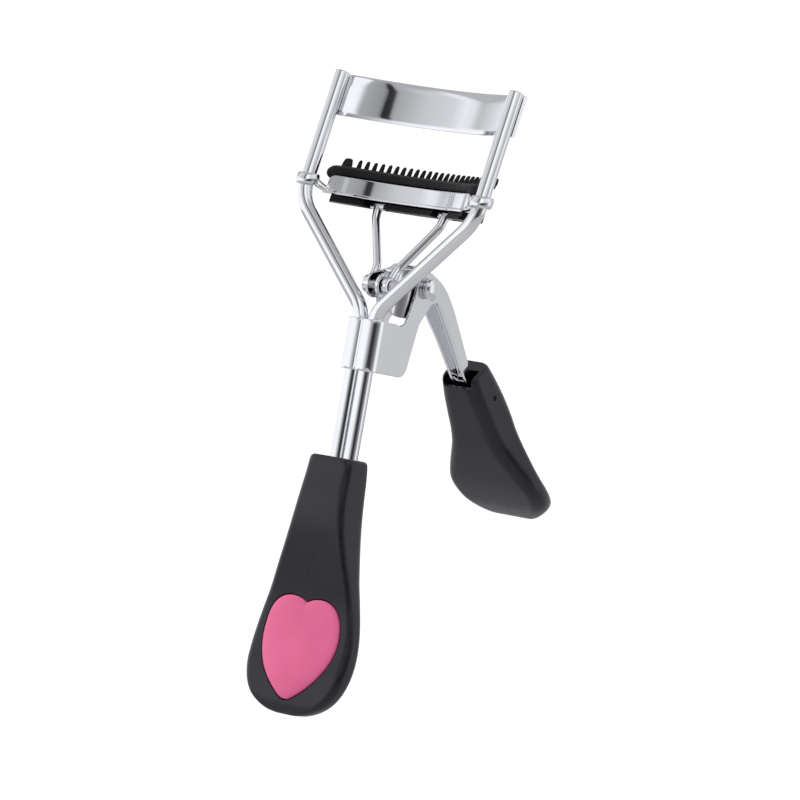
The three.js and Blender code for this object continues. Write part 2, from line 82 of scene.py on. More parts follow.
BOW_START = 0.9
BOW_DEPTH = 6.5
BOW_HALF = 17.2

PLATE_T = 0.8
PLATE_Z = (99.5, 106.7)
PLATE_START = 1.9
TAB_END_X = 18.8

BAR_HALF = 15.3
BAR_FRONT = -1.5
BAR_BACK = 1.3
BAR_Z = (86.5, 89.4)
CARRIER_Z = (86.1, 86.65)
GROOVE_HALF = 0.85
GROOVE_Z = 88.1
COLLAR_Z = 88.0

PAD_HALF = 16.0
COMB_HALF = 14.5
COMB_LIP_Z = (84.8, 86.0)
COMB_BACK = (1.9, 2.6)
COMB_TOP_Z = 91.3
TOOTH_COUNT = 23
TOOTH_PITCH = 1.1
TOOTH_HALF = 0.35
END_TOOTH_HALF = 0.95
TOOTH_TIP_Z = 92.7

SHEET_T = 0.6
EAR_OUT = 3.45
CLAMP_Z = (57.7, 66.3)
EAR_R = 2.7

GRIP_TOP_Z = 43.0
HEART_Z = 11.0
HEART_FLOOR_Y = -3.0
HEART_FLOOR_SLOPE = 0.1
REAR_TOP = (29.2, 60.6)
REAR_TILT = math.radians(42.5)
REAR_LENGTH = 32.3

MM = 0.001
WELD_DISTANCE = 1e-4
# The row frame is the design frame shifted along Y, and the rivet shows by how much.
rivet_low, rivet_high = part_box("pivot_rivet")
ROW_SHIFT = (rivet_low.y + rivet_high.y) / 2 / MM - PIVOT[0]
TO_ROW = Matrix.Scale(MM, 4) @ Matrix.Translation((0, ROW_SHIFT, 0))


# ---- mesh helpers, all in design millimetres ----


def new_object(name, verts, faces):
    mesh = bpy.data.meshes.new(name)
    mesh.from_pydata([tuple(v) for v in verts], [], faces)
    bm = bmesh.new()
    bm.from_mesh(mesh)
    bmesh.ops.recalc_face_normals(bm, faces=bm.faces)
    bm.to_mesh(mesh)
    bm.free()
    obj = bpy.data.objects.new(name, mesh)
    bpy.context.scene.collection.objects.link(obj)
    return obj


def skin(name, rings, looped=False):
    """Joins rings of equal length into one closed skin; looped joins the last ring to the first."""
    n = len(rings[0])
    verts = [p for ring in rings for p in ring]
    faces = []
    count = len(rings)
    for r in range(count if looped else count - 1):
        a, b = r * n, (r + 1) % count * n
        for i in range(n):
            j = (i + 1) % n
            faces.append((a + i, a + j, b + j, b + i))
    if not looped:
        faces.append(tuple(range(n)))
        faces.append(tuple(range((count - 1) * n, count * n)))
    return new_object(name, verts, faces)


def prism(name, outline, low, high, along):
    """An outline raised between two values of X or of Z."""
    if along == "x":
        rings = [[Vector((t, a, b)) for a, b in outline] for t in (low, high)]
    else:
        rings = [[Vector((a, b, t)) for a, b in outline] for t in (low, high)]
    return skin(name, rings)


def round_corners(corners, steps=6):
    """A closed outline from (a, b, radius) corners."""
    points = []
    count = len(corners)
    for i, (a, b, radius) in enumerate(corners):
        here = Vector((a, b))
        if radius <= 0:
            points.append(here)
            continue
        before = (Vector(corners[i - 1][:2]) - here).normalized()
        after = (Vector(corners[(i + 1) % count][:2]) - here).normalized()
        half = before.angle(after) / 2
        reach = radius / math.tan(half)
        centre = here + (before + after).normalized() * radius / math.sin(half)
        start = here + before * reach - centre
        end = here + after * reach - centre
        turn = start.angle_signed(end)
        for k in range(steps + 1):
            points.append(centre + Matrix.Rotation(-turn * k / steps, 2) @ start)
    return points


def smooth_path(corners, cuts, steps):
    """Straight runs between corner points, each inner corner rounded over the given length."""
    path = [corners[0]]
    for i in range(1, len(corners) - 1):
        back = (corners[i - 1] - corners[i]).normalized()
        forward = (corners[i + 1] - corners[i]).normalized()
        start = corners[i] + back * cuts[i - 1]
        end = corners[i] + forward * cuts[i - 1]
        for k in range(steps + 1):
            t = k / steps
            path.append(start * (1 - t) ** 2 + corners[i] * 2 * t * (1 - t) + end * t * t)
    path.append(corners[-1])
    return path


def round_bar(name, path, radius, sides, edge):
    """A round bar along a path, with its end edges rounded."""
    stations = []
    for end, into in ((0, 1), (-1, -2)):
        along = (path[into] - path[end]).normalized()
        rounds = []
        for k in range(5):
            t = math.pi / 2 * k / 4
            rounds.append((path[end] + along * edge * (1 - math.cos(t)), radius - edge * (1 - math.sin(t))))
        stations.append(rounds)
    line = stations[0] + [(p, radius) for p in path[1:-1]] + stations[1][::-1]
    side = Vector((1, 0, 0))
    rings = []
    for i, (p, r) in enumerate(line):
        along = (line[min(i + 1, len(line) - 1)][0] - line[max(i - 1, 0)][0]).normalized()
        side = (side - along * side.dot(along)).normalized()
        up = along.cross(side)
        turns = [2 * math.pi * k / sides for k in range(sides)]
        rings.append([p + side * (r * math.cos(a)) + up * (r * math.sin(a)) for a in turns])
    return skin(name, rings)


def lathe(name, profile, centre, steps, axis="x"):
    """Turns a closed (radius, height) profile round an axis through centre."""
    rings = []
    for k in range(steps):
        a = 2 * math.pi * k / steps
        c, s = math.cos(a), math.sin(a)
        if axis == "x":
            rings.append([Vector((h, r * c, r * s)) + Vector(centre) for r, h in profile])
        else:
            rings.append([Vector((r * c, r * s, h)) + Vector(centre) for r, h in profile])
    made = skin(name, rings, looped=True)
    weld(made)
    return made


def weld(obj):
    bm = bmesh.new()
    bm.from_mesh(obj.data)
    bmesh.ops.remove_doubles(bm, verts=bm.verts, dist=WELD_DISTANCE)
    bmesh.ops.recalc_face_normals(bm, faces=bm.faces)
    bm.to_mesh(obj.data)
    bm.free()


def settle(obj):
    """Applies an object's modifiers to its mesh."""
    bpy.context.view_layer.update()
    made = bpy.data.meshes.new_from_object(obj.evaluated_get(bpy.context.evaluated_depsgraph_get()))
    obj.modifiers.clear()
    obj.data = made


def combine(obj, others, operation):
    for other in others:
        step = obj.modifiers.new(operation.lower(), "BOOLEAN")
        step.operation = operation
        step.solver = "EXACT"
        step.object = other
        settle(obj)
        bpy.data.objects.remove(other)
    return obj


def joined(obj, others):
    return combine(obj, others, "UNION")


def cut(obj, *others):
    return combine(obj, others, "DIFFERENCE")


def soften(obj, width, segments, angle):
    """Rounds the edges that turn by more than angle degrees."""
    step = obj.modifiers.new("edges", "BEVEL")
    step.width = width
    step.segments = segments
    step.limit_method = "ANGLE"
    step.angle_limit = math.radians(angle)
    step.use_clamp_overlap = True
    settle(obj)


def mirrored(obj, name):
    mesh = obj.data.copy()
    mesh.transform(Matrix.Scale(-1, 4, (1, 0, 0)))
    mesh.flip_normals()
    other = bpy.data.objects.new(name, mesh)
    bpy.context.scene.collection.objects.link(other)
    return other


def lean(obj):
    """Tips an upright jaw piece back so that it follows the leaning rails."""
    tip = Matrix.Identity(4)
    tip[1][2] = RAIL_LEAN
    tip[1][3] = -RAIL_LEAN * RAIL_FOOT_Z
    obj.data.transform(tip)
    return obj


def publish(obj, look, body, node, sharp=32):
    """Gives a finished piece its look, and hangs it on its CAD body in place of its CAD node."""
    obj.data.transform(TO_ROW)
    obj.data.materials.clear()
    obj.data.materials.append(look)
    obj.data.shade_smooth()
    obj.data.set_sharp_from_angle(angle=math.radians(sharp))
    flats = obj.modifiers.new("flat faces stay flat", "WEIGHTED_NORMAL")
    flats.keep_sharp = True
    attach(obj, body)
    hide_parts(node)
    return obj


def blend_between(stations, t):
    """Smooth value of rows [key, a, b, ...] at key t, by cubic steps with matched slopes."""
    keys = [row[0] for row in stations]
    i = max(k for k in range(len(keys) - 1) if keys[k] <= t or k == 0)
    span = keys[i + 1] - keys[i]
    u = min(max((t - keys[i]) / span, 0), 1)

    def slope(k, c):
        if 0 < k < len(keys) - 1:
            return (stations[k + 1][c] - stations[k - 1][c]) / (keys[k + 1] - keys[k - 1])
        j = 0 if k == 0 else len(keys) - 2
        return (stations[j + 1][c] - stations[j][c]) / (keys[j + 1] - keys[j])

    values = []
    for c in range(1, len(stations[0])):
        a, b = stations[i][c], stations[i + 1][c]
        p, q = slope(i, c) * span, slope(i + 1, c) * span
        values.append(
            a * (2 * u**3 - 3 * u**2 + 1) + p * (u**3 - 2 * u**2 + u)
            + b * (3 * u**2 - 2 * u**3) + q * (u**3 - u**2)
        )
    return values


def smoothstep(low, high, t):
    u = min(max((t - low) / (high - low), 0), 1)
    return u * u * (3 - 2 * u)


# ---- plan curve of the jaws ----


def bow(x):
    return BOW_START + BOW_DEPTH * (1 - (x / BOW_HALF) ** 2)


def bow_normal(x):
    slope = -2 * BOW_DEPTH * x / BOW_HALF**2
    length = math.hypot(1, slope)
    return Vector((-slope / length, 1 / length))


def beside_bow(x, off):
    return Vector((x, bow(x))) + bow_normal(x) * off


def bow_rings(half, section_at, steps):
    """Rings of section_at(x), a list of (offset behind the bow, z), closer together towards the ends."""
    rings = []
    for i in range(steps + 1):
        x = half * math.sin(math.pi / 2 * (2 * i / steps - 1))
        ring = []
        for off, z in section_at(x):
            p = beside_bow(x, off)
            ring.append(Vector((p.x, p.y, z)))
        rings.append(ring)
    return rings


# ---- materials ----


class Nodes:
    """A material's node tree with short calls for the nodes used here."""

    def __init__(self, name):
        self.material = bpy.data.materials.new(name)
        self.material.use_nodes = True
        self.tree = self.material.node_tree
        self.shader = self.tree.nodes["Principled BSDF"]
        self.place = self.tree.nodes.new("ShaderNodeTexCoord").outputs["Object"]

    def put(self, **values):
        for name, value in values.items():
            self.shader.inputs[name.replace("_", " ")].default_value = value

    def stretched(self, scale):
        step = self.tree.nodes.new("ShaderNodeMapping")
        step.inputs["Scale"].default_value = scale
        self.tree.links.new(self.place, step.inputs["Vector"])
        return step.outputs["Vector"]

    def noise(self, scale, detail, place=None):
        step = self.tree.nodes.new("ShaderNodeTexNoise")
        step.inputs["Scale"].default_value = scale
        step.inputs["Detail"].default_value = detail
        self.tree.links.new(place or self.place, step.inputs["Vector"])
        return step.outputs["Fac"]

    def spread(self, value, low, high):
        """Carries the middle of a noise's range onto low to high."""
        step = self.tree.nodes.new("ShaderNodeMapRange")
        for name, number in (("From Min", 0.3), ("From Max", 0.7), ("To Min", low), ("To Max", high)):
            step.inputs[name].default_value = number
        self.tree.links.new(value, step.inputs["Value"])
        return step.outputs["Result"]

    def tint(self, value, first, second):
        step = self.tree.nodes.new("ShaderNodeMix")
        step.data_type = "RGBA"
        step.inputs["A"].default_value = (*first, 1)
        step.inputs["B"].default_value = (*second, 1)
        self.tree.links.new(value, step.inputs["Factor"])
        self.tree.links.new(step.outputs["Result"], self.shader.inputs["Base Color"])

    def rough(self, value):
        self.tree.links.new(value, self.shader.inputs["Roughness"])

    def bump(self, heights):
        """Stacks (height, depth in metres) bumps."""
        normal = None
        for height, depth in heights:
            step = self.tree.nodes.new("ShaderNodeBump")
            step.inputs["Strength"].default_value = 1.0
            step.inputs["Distance"].default_value = depth
            self.tree.links.new(height, step.inputs["Height"])
            if normal is not None:
                self.tree.links.new(normal, step.inputs["Normal"])
            normal = step.outputs["Normal"]
        self.tree.links.new(normal, self.shader.inputs["Normal"])


def polished_chrome():
    """Nickel chrome over drawn wire and stamped sheet: mirror bright, a little wavy and hazy."""
    n = Nodes("polished_chrome")
    n.put(Metallic=1.0)
    n.tint(n.spread(n.noise(90, 3), 0, 1), (0.83, 0.835, 0.85), (0.78, 0.785, 0.805))
    n.rough(n.spread(n.noise(420, 4), 0.03, 0.085))
    n.bump([(n.noise(160, 1), 0.00002), (n.noise(520, 2), 0.0000015)])
    return n.material


def satin_steel():
    """Turned steel of the pin and washers: greyer and softer than the chrome, with fine turning marks."""
    n = Nodes("satin_steel")
    n.put(Metallic=1.0)
    n.tint(n.spread(n.noise(300, 3), 0, 1), (0.66, 0.66, 0.68), (0.56, 0.56, 0.58))
    n.rough(n.spread(n.noise(900, 3), 0.2, 0.34))
    n.bump([(n.noise(1, 2, n.stretched((9000, 700, 700))), 0.000003)])
    return n.material


def soft_touch():
    """Matt rubbery coating of the grips: fine even grain, slightly paler where it is handled."""
    n = Nodes("soft_touch")
    n.put(Specular_IOR_Level=0.5, Specular_Tint=(0.93, 0.91, 1, 1))
    n.tint(n.spread(n.noise(110, 4), 0, 1), (0.0058, 0.0055, 0.0074), (0.0088, 0.0084, 0.0110))
    n.rough(n.spread(n.noise(700, 4), 0.23, 0.33))
    n.bump([(n.noise(5200, 2), 0.000006), (n.noise(260, 2), 0.00001)])
    return n.material


def black_silicone():
    """Smooth squeeze pad, with a faint bloom."""
    n = Nodes("black_silicone")
    n.put(Specular_IOR_Level=0.16)
    n.tint(n.spread(n.noise(240, 4), 0, 1), (0.008, 0.008, 0.0088), (0.0125, 0.0125, 0.0138))
    n.rough(n.spread(n.noise(900, 3), 0.42, 0.58))
    n.bump([(n.noise(3600, 2), 0.000006)])
    return n.material


def comb_plastic():
    """Moulded black plastic of the lash comb: satin, with faint flow marks."""
    n = Nodes("comb_plastic")
    n.put(Specular_IOR_Level=0.16)
    n.tint(n.spread(n.noise(200, 3), 0, 1), (0.004, 0.004, 0.0045), (0.007, 0.007, 0.008))
    n.rough(n.spread(n.noise(1, 3, n.stretched((250, 900, 900))), 0.3, 0.45))
    n.bump([(n.noise(2600, 2), 0.000005)])
    return n.material


def pink_enamel():
    """Satin pink heart, a touch uneven in tone, with the light skin of a moulded insert."""
    n = Nodes("pink_enamel")
    n.put(Specular_IOR_Level=0.4, Coat_Weight=0.08, Coat_Roughness=0.35)
    n.tint(n.spread(n.noise(120, 3), 0, 1), (0.84, 0.150, 0.315), (0.77, 0.128, 0.280))
    n.rough(n.spread(n.noise(800, 3), 0.42, 0.55))
    n.bump([(n.noise(4200, 2), 0.000004)])
    return n.material


def plain(name, colour, roughness, glow):
    n = Nodes(name)
    n.put(Base_Color=(*colour, 1), Roughness=roughness, Emission_Strength=glow)
    n.put(Emission_Color=(1, 1, 1, 1))
    return n.material


CHROME = polished_chrome()
STEEL = satin_steel()
SOFT = soft_touch()
SILICONE = black_silicone()
COMB = comb_plastic()
PINK = pink_enamel()


# ---- frame pieces ----


def frame_wires():
    rise = RAIL_TOP_Z - RAIL_FOOT_Z
    corners = [
        Vector((WIRE_HALF_GAP, 0, WIRE_BOTTOM_Z)),
        Vector((WIRE_HALF_GAP, 0, WIRE_FORK_Z)),
        Vector((RAIL_X, 0, RAIL_FOOT_Z)),
        Vector((RAIL_X, RAIL_LEAN * rise, RAIL_TOP_Z)),
    ]
    path = smooth_path(corners, cuts=[2.6, 3.2], steps=26)
    right = round_bar("right_wire", path, WIRE_R, sides=48, edge=0.3)
    left = mirrored(right, "left_wire")
    publish(right, CHROME, "frame", "right_frame_wire")
    publish(left, CHROME, "frame", "left_frame_wire")


def plate_line():
    """(point, normal, x) stations of the plate's middle line: a bow easing into tabs behind the rails."""
    turn_x, tab_x = 17.0, 17.6
    depth = BOW_START + BOW_DEPTH - PLATE_START

    def line_at(x):
        return Vector((x, PLATE_START + depth * (1 - (x / BOW_HALF) ** 2)))

    start = line_at(turn_x)
    knee = Vector((turn_x + 0.25, start.y - 0.1))
    end = Vector((tab_x, knee.y))
    tab = []
    for k in range(1, 11):
        t = k / 10
        tab.append(start * (1 - t) ** 2 + knee * 2 * t * (1 - t) + end * t * t)
    tab += [Vector((tab_x + 0.6, knee.y)), Vector((TAB_END_X, knee.y - 0.1))]
    middle = [line_at(turn_x * (i / 40 - 1)) for i in range(81)]
    line = [Vector((-p.x, p.y)) for p in reversed(tab)] + middle + tab
    stations = []
    for i, p in enumerate(line):
        along = (line[min(i + 1, len(line) - 1)] - line[max(i - 1, 0)]).normalized()
        stations.append((p, Vector((-along.y, along.x)), p.x))
    return stations


def upper_plate():
    """Bowed plate; its top edge curls back most where the bow is deepest."""
    curl_height, curl_depth, curl_half = 1.7, 0.62, 15.5
    low, high = PLATE_Z
    half = PLATE_T / 2
    edge = 0.14
    front = [(-half + edge, low), (-half + edge * 0.3, low + edge * 0.3), (-half, low + edge)]
    front += [(-half, low + edge + (high - curl_height - low - edge) * k / 6) for k in range(1, 7)]
    front += [(-half, high - curl_height + (curl_height - 0.3) * k / 12) for k in range(1, 13)]
    top = [(-half + 0.05, high - 0.17), (-half + 0.16, high - 0.05), (-half + 0.32, high)]
    section = front + top + [(-off, z) for off, z in reversed(front + top)]
    rings = []
    for p, normal, x in plate_line():
        curl = curl_depth * math.cos(math.pi / 2 * min(abs(x) / curl_half, 1)) ** 0.7
        ring = []
        for off, z in section:
            rise = max(z - (high - curl_height), 0) / curl_height
            q = p + normal * (off + curl * rise**2)
            ring.append(Vector((q.x, q.y, z)))
        rings.append(ring)
    plate = lean(skin("upper_plate", rings))
    publish(plate, CHROME, "frame", "upper_jaw_plate", 40)


def ear_outline():
    """Side outline of the clamp's ear in Y and Z, from the front column round to the front column."""
    low, high = CLAMP_Z
    corners = [(0, low, 0), (8.1, low, 2.0), (9.75, 66.9, 2.5), (12.2, 70.6, 1.5)]
    head = []
    for k in range(21):
        a = math.radians(-25 + k * 10)
        head.append((PIVOT[0] + EAR_R * math.cos(a), PIVOT[1] + EAR_R * math.sin(a), 0))
    notch = [(7.3, 70.9, 2.0), (6.1, 66.55, 1.1), (4.6, 66.0, 1.0), (3.6, high, 0.5), (0, high, 0)]
    return round_corners(corners + head + notch, 8)


def clamp_bracket():
    """Sheet wrapped round both wires, its two ears running back to the pivot."""
    low, high = CLAMP_Z
    spare, valley_dip = 0.2, 0.12
    radius = WIRE_R + spare + SHEET_T
    valley = math.acos(WIRE_HALF_GAP / radius)
    rows = 6
    ear = [tuple(p) for p in ear_outline()]
    ear += [(0.0, high - (high - low) * r / rows) for r in range(1, rows)]
    verts, faces = [], []
    columns = []
    steps = 30
    for k in range(steps + 1):
        a = -(math.pi - valley) * k / steps
        columns.append((WIRE_HALF_GAP + radius * math.cos(a), radius * math.sin(a)))
    columns[0] = (EAR_OUT, 0.0)
    columns[-1] = (0.0, columns[-1][1] - valley_dip)
    columns += [(-x, y) for x, y in reversed(columns[:-1])]
    for side in (1, -1):
        ear_start = len(verts)
        verts += [(side * EAR_OUT, y, z) for y, z in ear]
        faces.append(tuple(range(ear_start, len(verts))))
    last = len(verts)
    for x, y in columns:
        verts += [(x, y, low + (high - low) * r / rows) for r in range(rows + 1)]
    for c in range(len(columns) - 1):
        for r in range(rows):
            a = last + c * (rows + 1) + r
            b = a + rows + 1
            faces.append((a, b, b + 1, a + 1))
    sheet = new_object("clamp", verts, faces)
    weld(sheet)
    orient_outward(sheet)
    thick = sheet.modifiers.new("thickness", "SOLIDIFY")
    thick.thickness = SHEET_T
    thick.offset = -1
    thick.use_even_offset = True
    settle(sheet)
    soften(sheet, 0.12, segments=3, angle=50)
    publish(sheet, CHROME, "frame", "clamp_bracket", 30)


def orient_outward(obj):
    """Turns the clamp's open sheet outward: its ears sideways, its front away from between the wires."""
    ear_from_y, inside_y = 0.3, 1.0
    bm = bmesh.new()
    bm.from_mesh(obj.data)
    for face in bm.faces:
        c = face.calc_center_median()
        away = Vector((c.x, 0, 0)) if c.y > ear_from_y else Vector((c.x, c.y - inside_y, 0))
        if face.normal.dot(away) < 0:
            face.normal_flip()
    bm.to_mesh(obj.data)
    bm.free()


def pivot_set():
    """Domed rivet through both ears, with a turned washer under each head."""
    shank_r, head_r, head_base, dome_base, dome_rise = 1.1, 1.85, 4.1, 4.4, 0.65
    quarter = [math.pi / 2 * k / 9 for k in range(10)]
    head = [(head_r * math.sin(a), dome_base + dome_rise * math.cos(a)) for a in quarter]
    head += [(head_r - 0.02, head_base + 0.1), (head_r - 0.11, head_base + 0.02)]
    head += [(head_r - 0.25, head_base), (shank_r, head_base)]
    profile = head + [(r, -h) for r, h in reversed(head)]
    rivet = lathe("rivet", profile, (0, *PIVOT), steps=72)
    publish(rivet, CHROME, "frame", "pivot_rivet", 40)
    inner, outer, low, high, edge = 1.3, 1.7, EAR_OUT + 0.03, EAR_OUT + 0.62, 0.08
    ring = [(inner, low), (outer - edge, low), (outer, low + edge)]
    ring += [(outer, high - edge), (outer - edge, high), (inner, high)]
    right = lathe("right_washer", ring, (0, *PIVOT), steps=64)
    left = mirrored(right, "left_washer")
    publish(right, STEEL, "frame", "right_pivot_washer", 30)
    publish(left, STEEL, "frame", "left_pivot_washer", 30)


# ---- grips ----


def grip_ring(half, front, back, z, front_radius, back_radius):
    """Rounded rectangle across a grip, with points along its flats for the face to bend at."""
    steps, side_pieces, face_pieces = 9, 4, 12
    deep = back - front
    rf = min(front_radius, half * 0.7, deep * 0.46)
    rb = min(back_radius, half * 0.7, deep * 0.46)
    corners = [(half, front, rf), (half, back, rb), (-half, back, rb), (-half, front, rf)]
    arcs = round_corners(corners, steps)
    ring = []
    count = len(arcs)
    for i, p in enumerate(arcs):
        ring.append(p)
        q = arcs[(i + 1) % count]
        corner, step = divmod(i, steps + 1)
        if step == steps:
            pieces = side_pieces if corner in (0, 2) else face_pieces
            ring += [p.lerp(q, k / pieces) for k in range(1, pieces)]
    return [Vector((p.x, p.y, z)) for p in ring]


def grip_body(name, stations, front_radius, back_radius):
    """Skin through stations of height, half width, front and back, closer rings towards both ends."""
    rings = 84
    low, high = stations[0][0], stations[-1][0]
    made = []
    for k in range(rings + 1):
        t = 0.5 - 0.5 * math.cos(math.pi * k / rings)
        z = low + (high - low) * t
        half, front, back = blend_between(stations, z)
        made.append(grip_ring(half, front, back, z, front_radius, back_radius))
    return skin(name, made)


def heart_outline(grow):
    """Heart in X and Z round its own middle, lobes up; grow widens it all round."""
    steps = 22
    right = [
        [(0, 7.6), (1.7, 8.9), (7.2, 9.6), (7.6, 3.0)],
        [(7.6, 3.0), (8.0, -1.8), (5.0, -5.6), (1.3, -8.1)],
        [(1.3, -8.1), (0.8, -8.45), (0.4, -8.48), (0, -8.48)],
    ]
    half = []
    for a, b, c, d in right:
        for k in range(steps):
            t = k / steps
            w = ((1 - t) ** 3, 3 * t * (1 - t) ** 2, 3 * t * t * (1 - t), t**3)
            half.append(Vector([sum(f * p[i] for f, p in zip(w, (a, b, c, d))) for i in (0, 1)]))
    outline = half + [Vector((0, -8.48))] + [Vector((-p.x, p.y)) for p in reversed(half[1:])]
    return [Vector((p.x * (1 + grow / 7.6), p.y * (1 + grow / 8.4))) for p in outline]


def face_y(z):
    """Depth of the front grip's curved face at a height."""
    return blend_between(FRONT_GRIP_ROWS, z)[1]


def floor_y(z):
    """Depth of the flat, sloping floor under the heart."""
    return HEART_FLOOR_Y + HEART_FLOOR_SLOPE * (z - HEART_Z)


def heart_layers(name, layers):
    """Layers (depth at a height, grow, scale) of the heart outline stacked towards the front."""
    rings = []
    for depth, grow, scale in layers:
        heights = [(p, HEART_Z + p.y * scale) for p in heart_outline(grow)]
        rings.append([Vector((p.x * scale, depth(z), z)) for p, z in heights])
    return skin(name, rings)


# Front grip from its tip up: height, half width, front face and back face.
FRONT_GRIP_ROWS = [
    [0.0, 2.0, -4.1, -2.9],
    [0.3, 3.9, -4.45, -2.25],
    [1.2, 6.1, -4.75, -1.6],
    [2.6, 7.9, -4.8, -1.0],
    [4.6, 9.2, -4.6, -0.4],
    [7.2, 10.0, -4.2, 0.15],
    [10.0, 10.25, -3.6, 0.5],
    [13.0, 10.1, -3.15, 0.63],
    [16.0, 9.6, -3.0, 0.8],
    [20.0, 8.55, -3.2, 1.2],
    [24.0, 7.5, -3.8, 1.5],
    [28.0, 6.4, -4.4, 2.0],
    [32.0, 5.5, -4.8, 2.4],
    [36.0, 4.95, -4.75, 2.6],
    [40.0, 4.65, -4.3, 2.6],
    [42.2, 4.5, -4.12, 2.4],
    [42.75, 4.35, -4.0, 2.27],
    [GRIP_TOP_Z, 4.0, -3.75, 2.0],
]


def front_grip():
    grip = grip_body("grip_front", FRONT_GRIP_ROWS, 1.45, 2.3)
    spare, edge = 0.3, 1.4
    reach, deep = WIRE_HALF_GAP + WIRE_R + spare, WIRE_R + spare
    corners = [(reach, -deep, edge), (reach, deep, edge), (-reach, deep, edge), (-reach, -deep, edge)]
    socket = prism("socket", round_corners(corners, 8), WIRE_BOTTOM_Z - 0.5, GRIP_TOP_Z + 1, "z")
    layers = [(floor_y, 0.16, 1), (lambda z: face_y(z) + 0.13, 0.16, 1), (face_y, 0.28, 1)]
    layers.append((lambda z: face_y(z) - 0.6, 0.9, 1))
    recess = heart_layers("recess", layers)
    cut(grip, socket, recess)
    publish(grip, SOFT, "frame", "front_grip", 30)


def heart_inlay():
    """Crowned heart, dropping away to a rounded rim."""
    def above(rise):
        return lambda z: face_y(z) - rise

    layers = [(lambda z: floor_y(z) - 0.12, 0, 1), (above(-0.05), 0, 1)]
    for k in range(1, 17):
        t = k / 16
        scale = math.cos(math.pi / 2 * t * 0.985) ** 0.8
        layers.append((above(0.8 * math.sin(math.pi / 2 * t) ** 0.85 - 0.05), 0, scale))
    heart = heart_layers("heart", layers)
    publish(heart, PINK, "frame", "heart_inlay", 75)


def rear_grip():
    """Grip drawn along its own Z, up to the top end at 0, then laid along the lever."""
    tip = -REAR_LENGTH
    stations = [
        [tip, 3.2, 1.7, 3.5],
        [tip + 0.3, 4.6, 1.1, 3.95],
        [tip + 1.2, 6.0, 0.35, 4.3],
        [tip + 2.7, 7.6, -0.45, 4.2],
        [tip + 4.7, 8.7, -1.3, 3.4],
        [tip + 7.3, 9.2, -2.0, 2.5],
        [tip + 9.7, 9.1, -2.5, 1.95],
        [tip + 12.4, 8.3, -2.8, 2.15],
        [tip + 15.4, 7.0, -3.0, 2.8],
        [tip + 18.4, 5.75, -3.1, 3.6],
        [tip + 21.4, 5.1, -3.05, 4.2],
        [tip + 24.9, 4.7, -3.0, 4.3],
        [tip + 28.4, 4.3, -2.9, 4.1],
        [-0.6, 3.8, -2.65, 3.8],
        [-0.15, 3.6, -2.5, 3.55],
        [0, 3.4, -2.3, 3.3],
    ]
    grip = grip_body("grip_rear", stations, 2.3, 2.2)
    mouth_half, mouth_front, mouth_back = 2.95, -2.1, 1.0
    corners = [(mouth_half, mouth_front, 0.7), (mouth_half, mouth_back, 0.9)]
    corners += [(-mouth_half, mouth_back, 0.9), (-mouth_half, mouth_front, 0.7)]
    mouth = prism("mouth", round_corners(corners, 6), -3.4, 1, "z")
    brow_side = [(-6, 0.9, 0), (-6, -1.3, 0), (-1.4, -1.3, 0), (1.0, -0.4, 0.5), (1.0, 0.9, 0)]
    brow = prism("brow", round_corners(brow_side, 6), -mouth_half, mouth_half, "x")
    slot_corners = [(1.5, -0.8, 0), (1.5, 0.4, 0), (-1.5, 0.4, 0), (-1.5, -0.8, 0)]
    slot = prism("slot", round_corners(slot_corners), -14.2, 1, "z")
    dimple = lathe("dimple", [(0, 4.05), (0.3, 4.1), (0.45, 4.3), (0.5, 6), (0, 6)], (0, 0.9, -5.4), steps=24)
    cut(grip, mouth, brow, slot, dimple)
    turn = Matrix.Translation((0, *REAR_TOP)) @ Matrix.Rotation(REAR_TILT, 4, "X")
    grip.data.transform(turn)
    publish(grip, SOFT, "lever", "rear_grip", 30)


# ---- lever ----

# Rows across the channel: spine point, then wall edge, each in Y and Z, from the nose to the grip.
LEVER_ROWS = [
    [3.3, 75.15, 2.9, 69.6],
    [6.0, 76.2, 5.4, 67.6],
    [9.0, 76.5, 8.8, 68.0],
    [12.5, 75.9, 12.4, 70.0],
    [15.4, 74.9, 14.6, 71.0],
    [17.2, 74.0, 16.1, 70.8],
    [19.0, 72.7, 17.6, 69.8],
    [21.2, 70.6, 19.6, 67.9],
    [24.0, 67.5, 22.3, 65.4],
    [29.35, 61.25, 27.2, 60.3],
    [30.1, 60.1, 28.9, 58.6],
    [31.3, 58.6, 30.1, 57.4],
]


def lever_half(y):
    """Half the channel's width: slim at the nose, full past the pivot, then tapering to the grip."""
    slim, full, taper = 1.3, 2.5, 0.32
    wide = slim + (full - slim) * smoothstep(5.0, 7.6, y)
    return wide * (1 - taper * min(max((y - 14) / 15, 0), 1))


def channel_ring(half, spine, edge):
    """U section with rounded outside and inside corners, open towards edge."""
    down = (edge - spine).normalized()
    depth = (edge - spine).length
    outer_r, inner_r = 0.75, 0.25
    outer, inner = [(-half, depth)], [(-half + SHEET_T, depth)]
    for side in (-1, 1):
        for k in range(7):
            a = math.pi / 2 * k / 6
            if side < 0:
                turn = (math.cos(a), math.sin(a))
            else:
                turn = (math.sin(a), math.cos(a))
            outer.append((side * (half - outer_r + outer_r * turn[0]), outer_r * (1 - turn[1])))
            reach = half - SHEET_T - inner_r
            inner.append((side * (reach + inner_r * turn[0]), SHEET_T + inner_r * (1 - turn[1])))
    outer.append((half, depth))
    inner.append((half - SHEET_T, depth))
    ring = []
    for x, d in outer + inner[::-1]:
        p = spine + down * d
        ring.append(Vector((x, p.x, p.y)))
    return ring


